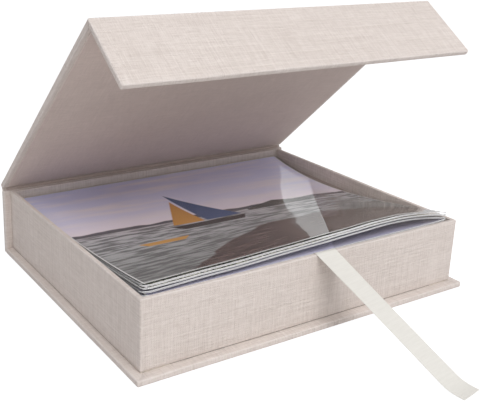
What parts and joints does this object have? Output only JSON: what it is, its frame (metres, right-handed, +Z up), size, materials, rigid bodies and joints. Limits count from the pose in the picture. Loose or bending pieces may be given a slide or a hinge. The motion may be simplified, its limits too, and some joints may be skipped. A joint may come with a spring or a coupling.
{
  "type": "photo storage box",
  "caption": "Cloth-covered storage box for photo prints: a shallow tray in a hinged case, with a magnetic front flap, a lift ribbon and sleeved prints inside.",
  "frame": {"origin": "middle of the tray in plan, on the base's underside", "axes": "+Z up, -Y towards the flap and the loose ribbon, +Y towards the spine, +X to the right seen from the front"},
  "size_m": [0.2796, 0.3372, 0.2091],
  "materials": {
    "book_cloth": "matte",
    "lining_cloth": "matte",
    "grey_board": "matte",
    "paper_tape": "matte",
    "ribbon": "satin",
    "magnet": "satin",
    "photo_print": "gloss",
    "clear_sleeve": "gloss",
    "stack": "gloss"
  },
  "bodies": {
    "box": {"base_board": "grey_board", "base_cloth": "book_cloth", "base_inner_sheet": "lining_cloth", "spine_board": "grey_board", "spine_cloth": "book_cloth", "spine_inner_sheet": "lining_cloth", "tray_floor_board": "grey_board", "tray_front_board": "grey_board", "tray_rear_board": "grey_board", "tray_left_board": "grey_board", "tray_right_board": "grey_board", "tray_corner_tapes": "paper_tape", "tray_cloth": "book_cloth", "tray_wall_lining": "lining_cloth", "tray_floor_lining": "lining_cloth", "tray_magnets": "magnet", "lift_ribbon": "ribbon", "lift_ribbon_tail": "ribbon", "ribbon_patch": "paper_tape", "print_stack": "stack", "sleeve_1": "clear_sleeve", "print_1": "photo_print", "sleeve_2": "clear_sleeve", "print_2": "photo_print", "sleeve_3": "clear_sleeve", "print_3": "photo_print", "sleeve_4": "clear_sleeve", "print_4": "photo_print", "sleeve_5": "clear_sleeve", "print_5": "photo_print"},
    "hinge_strip": {"lid_hinge_cloth": "book_cloth", "lid_hinge_lining": "lining_cloth"},
    "lid": {"lid_board": "grey_board", "lid_cloth": "book_cloth", "lid_lining": "lining_cloth", "flap_hinge_cloth": "book_cloth"},
    "flap": {"flap_board": "grey_board", "flap_cloth": "book_cloth", "flap_lining": "lining_cloth", "flap_magnets": "magnet"}
  },
  "joints": [
    {"name": "lid_close", "type": "hinge", "parent": "box", "child": "hinge_strip", "pos_m": [0, 0.1125, 0.0541], "axis": [-1, 0, 0], "range_deg": [-42, 0], "deforming": ["sleeve_1", "print_1", "sleeve_2", "print_2", "sleeve_3", "print_3", "sleeve_4", "print_4", "sleeve_5", "print_5", "lift_ribbon_tail"]},
    {"name": "lid_fold_back", "type": "hinge", "parent": "hinge_strip", "child": "lid", "pos_m": [0, 0.11511, 0.057], "axis": [-1, 0, 0], "range_deg": [0, 148]},
    {"name": "flap_fold", "type": "hinge", "parent": "lid", "child": "flap", "pos_m": [0, -0.05326, 0.20806], "axis": [-1, 0, 0], "range_deg": [-12, 78]}
  ]
}
